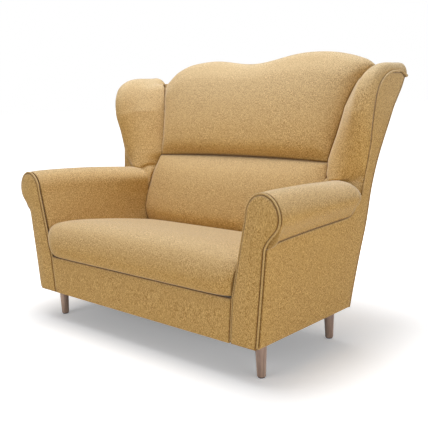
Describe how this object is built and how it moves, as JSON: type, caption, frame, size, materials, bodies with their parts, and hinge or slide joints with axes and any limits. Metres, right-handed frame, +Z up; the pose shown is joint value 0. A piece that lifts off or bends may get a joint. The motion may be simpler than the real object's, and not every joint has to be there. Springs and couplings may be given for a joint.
{
  "type": "two-seater sofa",
  "caption": "Wing-back two-seater sofa with rolled arms, a bench seat, a scalloped padded back and tapered round legs.",
  "frame": {"origin": "centre of the bounding box, on the floor under the glides", "axes": "+Z up, +X to the right of a viewer who faces the sofa, -Y to the front of the seat"},
  "size_m": [1.442, 0.863, 1.1148],
  "materials": {
    "upholstery": "woven chenille fabric over foam, mustard beige",
    "piping": "fabric-covered cord",
    "leg_wood": "stained satin wood",
    "timber": "raw softwood",
    "plywood": "raw plywood",
    "steel": "zinc-plated steel",
    "glide": "matt plastic",
    "dust_cloth": "thin non-woven cloth",
    "webbing": "woven strap and felt"
  },
  "bodies": {
    "root": {"seat_cushion": "upholstery", "lower_back_cushion": "upholstery", "upper_back_cushion": "upholstery", "arm_pad_right": "upholstery", "arm_pad_left": "upholstery", "arm_facing_right": "upholstery", "arm_facing_left": "upholstery", "arm_piping_right": "piping", "arm_piping_left": "piping", "wing_pad_right": "upholstery", "wing_pad_left": "upholstery", "wing_piping_right": "piping", "wing_piping_left": "piping", "side_cover_right": "upholstery", "side_cover_left": "upholstery", "front_apron": "upholstery", "outside_back": "upholstery", "dust_cover": "dust_cloth", "leg_front_right": "leg_wood", "leg_front_left": "leg_wood", "leg_rear_right": "leg_wood", "leg_rear_left": "leg_wood", "glide_front_right": "glide", "glide_front_left": "glide", "glide_rear_right": "glide", "glide_rear_left": "glide", "leg_bolts": "steel", "leg_nuts": "steel", "front_rail": "timber", "rear_rail": "timber", "middle_brace": "timber", "corner_block_front_right": "timber", "corner_block_front_left": "timber", "corner_block_rear_right": "timber", "corner_block_rear_left": "timber", "side_board_right": "plywood", "side_board_left": "plywood", "arm_rail_right": "timber", "arm_rail_left": "timber", "arm_front_board_right": "plywood", "arm_front_board_left": "plywood", "wing_board_right": "plywood", "wing_board_left": "plywood", "back_post_right": "timber", "back_post_left": "timber", "back_top_rail": "timber", "back_middle_rail": "timber", "back_lower_rail": "timber", "back_webbing": "webbing", "seat_springs": "steel", "spring_clips": "steel", "spring_felt": "webbing"}
  },
  "joints": []
}
